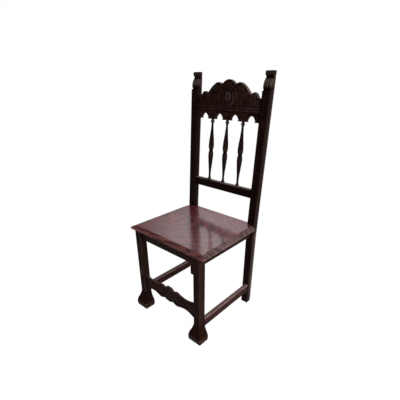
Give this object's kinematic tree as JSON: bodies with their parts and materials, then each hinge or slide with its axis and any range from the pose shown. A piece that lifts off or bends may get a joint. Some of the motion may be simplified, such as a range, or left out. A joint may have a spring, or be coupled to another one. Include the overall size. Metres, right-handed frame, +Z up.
{
  "type": "carved side chair",
  "caption": "Tall-backed wooden side chair for a dining table, with a plank seat, carved crest rail, turned spindles, paw feet and low stretchers.",
  "frame": {"origin": "on the floor, under the middle of the chair's width and depth", "axes": "+Z up to the finials, -Y towards the sitter's front, +X to the right of someone who faces the chair"},
  "size_m": [0.456, 0.4602, 1.087],
  "materials": {
    "dark_frame_wood": "dark stained and waxed hardwood, carved",
    "seat_wood": "polished reddish-brown plank",
    "unfinished_wood": "sawn and unfinished",
    "screw_steel": "dull bare steel"
  },
  "bodies": {
    "root": {"corner_block_front_left": "unfinished_wood", "corner_block_front_right": "unfinished_wood", "corner_block_rear_left": "unfinished_wood", "corner_block_rear_right": "unfinished_wood", "crest_rail": "dark_frame_wood", "cross_screw_front_left": "screw_steel", "cross_screw_front_right": "screw_steel", "cross_screw_rear_left": "screw_steel", "cross_screw_rear_right": "screw_steel", "front_leg_left": "dark_frame_wood", "front_leg_right": "dark_frame_wood", "front_seat_rail": "dark_frame_wood", "front_stretcher": "dark_frame_wood", "lower_back_rail": "dark_frame_wood", "rear_post_left": "dark_frame_wood", "rear_post_right": "dark_frame_wood", "rear_seat_rail": "dark_frame_wood", "seat_board": "seat_wood", "seat_screw_front_left": "screw_steel", "seat_screw_front_right": "screw_steel", "seat_screw_rear_left": "screw_steel", "seat_screw_rear_right": "screw_steel", "side_screw_front_left": "screw_steel", "side_screw_front_right": "screw_steel", "side_screw_rear_left": "screw_steel", "side_screw_rear_right": "screw_steel", "side_seat_rail_left": "dark_frame_wood", "side_seat_rail_right": "dark_frame_wood", "side_stretcher_left": "dark_frame_wood", "side_stretcher_right": "dark_frame_wood", "spindle_1": "dark_frame_wood", "spindle_2": "dark_frame_wood", "spindle_3": "dark_frame_wood"}
  },
  "joints": []
}
